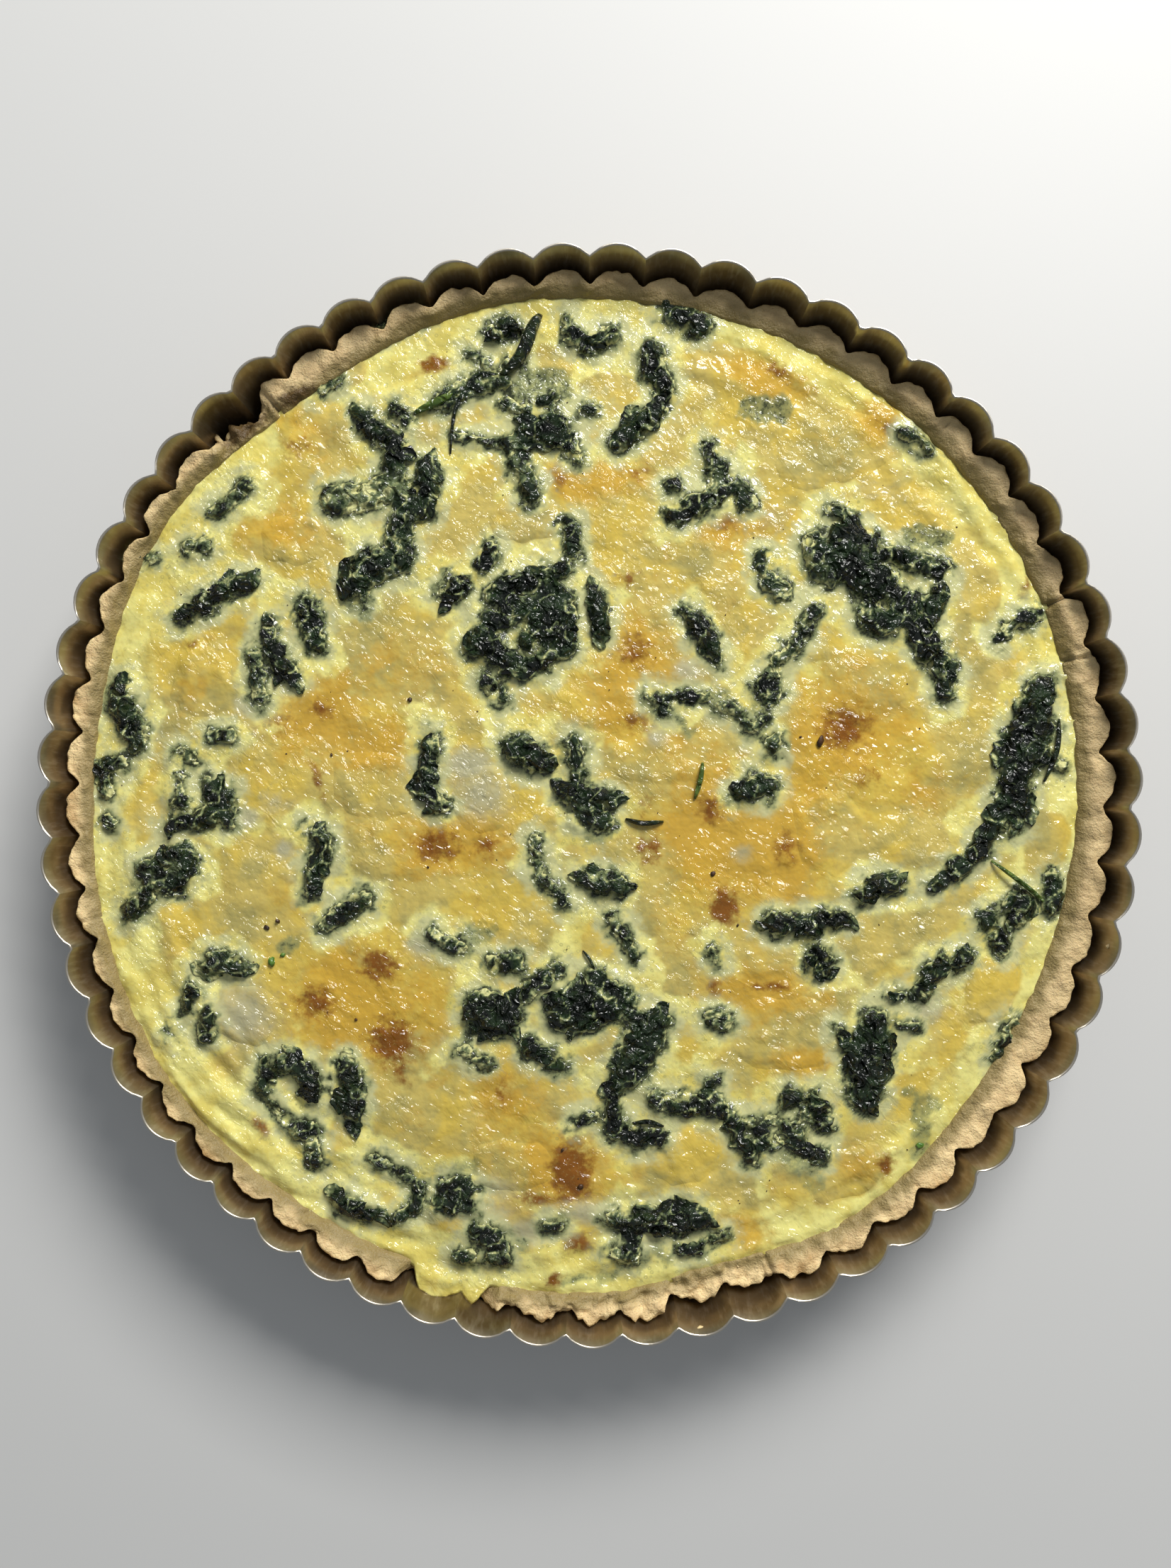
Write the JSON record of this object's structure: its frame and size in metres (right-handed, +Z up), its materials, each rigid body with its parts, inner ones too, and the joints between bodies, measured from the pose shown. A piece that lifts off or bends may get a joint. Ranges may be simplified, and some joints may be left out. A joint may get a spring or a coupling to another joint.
{
  "type": "spinach quiche in its fluted tart tin",
  "caption": "Whole baked spinach quiche: a pastry case of custard with melted cheese slices and dark spinach clumps, still in its round fluted tart tin.",
  "frame": {"origin": "middle of the flat base of the tin, on the surface it stands on", "axes": "+Z up out of the tin; +Y towards the rim opposite the run-over custard, +X to the right of it seen from above"},
  "size_m": [0.2399, 0.2398, 0.028],
  "materials": {
    "tin": "thin tinplate, aged to a warm olive brown, with fine drawn lines down the flutes and a bright worn rim",
    "pastry": "baked shortcrust, sandy and dry, toasted on some lobes, greased and glossy at the inner edge",
    "custard": "set egg custard, pale yellow, moist, golden to brown where it baked most",
    "melted_cheese": "half melted cheese, translucent beige, oily, with fine sparkling grease",
    "spinach": "cooked spinach, nearly black green, wet, crumpled, filmed with custard at the edges"
  },
  "bodies": {
    "root": {"tin": "tin", "crust": "pastry", "filling": "custard", "cheese_south_east": "melted_cheese", "cheese_south": "melted_cheese", "cheese_south_mid": "melted_cheese", "cheese_west_grey": "melted_cheese", "cheese_white_dome": "melted_cheese", "cheese_west_mid": "melted_cheese", "cheese_west": "melted_cheese", "cheese_north_west": "melted_cheese", "cheese_north": "melted_cheese", "cheese_north_east": "melted_cheese", "cheese_east_mid": "melted_cheese", "cheese_east_rim": "melted_cheese", "cheese_south_east_rim": "melted_cheese", "spinach_north_rim": "spinach", "spinach_north_block": "spinach", "spinach_feather": "spinach", "spinach_branch_upper": "spinach", "spinach_branch_mid": "spinach", "spinach_west_curl": "spinach", "spinach_round": "spinach", "spinach_ring_top": "spinach", "spinach_ring_east": "spinach", "spinach_ring_south": "spinach", "spinach_bean": "spinach", "spinach_oval": "spinach", "spinach_east_heap": "spinach", "spinach_east_strand": "spinach", "spinach_giant_leaf": "spinach", "spinach_link": "spinach", "spinach_chain": "spinach", "spinach_bar": "spinach", "spinach_bar_stem": "spinach", "spinach_south_east_leaf": "spinach", "spinach_east_rim": "spinach", "spinach_flat_leaf": "spinach", "spinach_south_heap_west": "spinach", "spinach_south_heap_east": "spinach", "spinach_long_leaf": "spinach", "spinach_south_chain": "spinach", "spinach_arch": "spinach", "spinach_south_rim": "spinach", "spinach_south_west_leaf": "spinach", "spinach_south_west_hook": "spinach", "spinach_south_west_rim": "spinach", "spinach_west_low": "spinach", "spinach_west_chain": "spinach", "spinach_west_stick": "spinach", "spinach_west_coil": "spinach", "spinach_west_elbow": "spinach", "spinach_far_west": "spinach", "spinach_west_upper": "spinach", "spinach_north_west_long": "spinach", "spinach_crescent": "spinach", "spinach_centre_west": "spinach", "spinach_centre": "spinach", "spinach_south_centre": "spinach", "spinach_east_centre": "spinach"}
  },
  "joints": []
}
